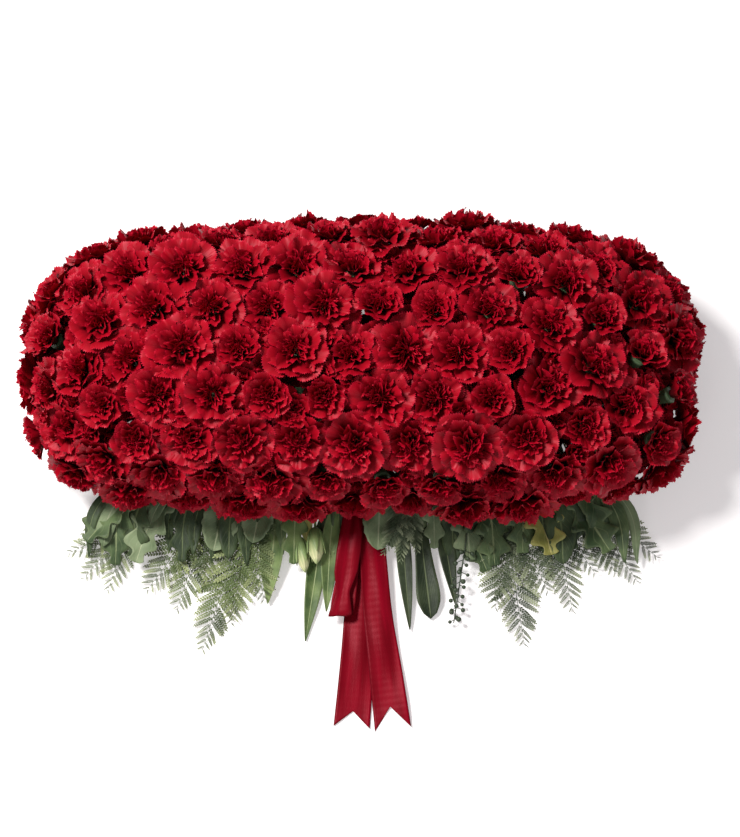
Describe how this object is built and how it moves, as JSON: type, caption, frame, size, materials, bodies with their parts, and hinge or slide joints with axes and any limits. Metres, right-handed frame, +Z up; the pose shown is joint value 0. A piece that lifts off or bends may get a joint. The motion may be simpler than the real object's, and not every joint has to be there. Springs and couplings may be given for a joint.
{
  "type": "casket flower arrangement",
  "caption": "Pillow-shaped casket spray of red carnations on a foam saddle, with trailing ferns, leaves, buds and a satin ribbon.",
  "frame": {"origin": "centre of the underside of the saddle's pad, on the surface that the spray lies on", "axes": "+X along the spray, +Z up, and the front with the ribbon at -Y"},
  "size_m": [0.7382, 0.5564, 0.2116],
  "materials": {
    "petals": "soft matt red carnation petals with a faint sheen, lighter at the toothed margins, on green calyxes and stems",
    "fern": "matt pale green feathery fern",
    "leaf": "semi-matt dark green leaf with paler veins",
    "bud": "smooth pale green bud, cream at the tip",
    "seeds": "dark green seed heads on thin stalks",
    "satin": "deep crimson satin ribbon with a soft sheen",
    "pick": "plain light wood",
    "pad": "black closed-cell foam rubber",
    "tray": "moulded dark green plastic",
    "cage": "moulded green plastic straps",
    "foam": "wet green floral foam, fine open cells, fully matt"
  },
  "bodies": {
    "root": {"carnations_01": "petals", "carnations_02": "petals", "carnations_03": "petals", "carnations_04": "petals", "carnations_05": "petals", "carnations_06": "petals", "carnations_07": "petals", "carnations_08": "petals", "carnations_09": "petals", "carnations_10": "petals", "carnations_11": "petals", "carnations_12": "petals", "carnations_13": "petals", "carnations_14": "petals", "carnations_15": "petals", "carnations_16": "petals", "carnations_17": "petals", "carnations_18": "petals", "carnations_19": "petals", "fern_frond_1": "fern", "fern_frond_2": "fern", "fern_frond_3": "fern", "fern_frond_4": "fern", "fern_frond_5": "fern", "fern_frond_6": "fern", "lobed_leaf_1": "leaf", "lobed_leaf_2": "leaf", "round_leaf_1": "leaf", "round_leaf_2": "leaf", "lance_leaf_1": "leaf", "lance_leaf_2": "leaf", "lance_leaf_3": "leaf", "round_leaf_3": "leaf", "strap_leaf_1": "leaf", "strap_leaf_2": "leaf", "strap_leaf_3": "leaf", "lobed_leaf_3": "leaf", "lobed_leaf_4": "leaf", "lobed_leaf_5": "leaf", "carnation_bud_1": "bud", "carnation_bud_2": "bud", "carnation_bud_3": "bud", "seeded_sprig": "seeds", "back_leaf_1": "leaf", "back_leaf_2": "leaf", "back_leaf_3": "leaf", "back_leaf_4": "leaf", "end_leaf_left": "leaf", "end_leaf_right": "leaf", "ribbon_tail_left": "satin", "ribbon_tail_right": "satin", "ribbon_loop": "satin", "ribbon_pick": "pick", "saddle_pad": "pad", "saddle_tray": "tray", "foam_block_left": "foam", "foam_block_right": "foam", "foam_cage": "cage"}
  },
  "joints": []
}
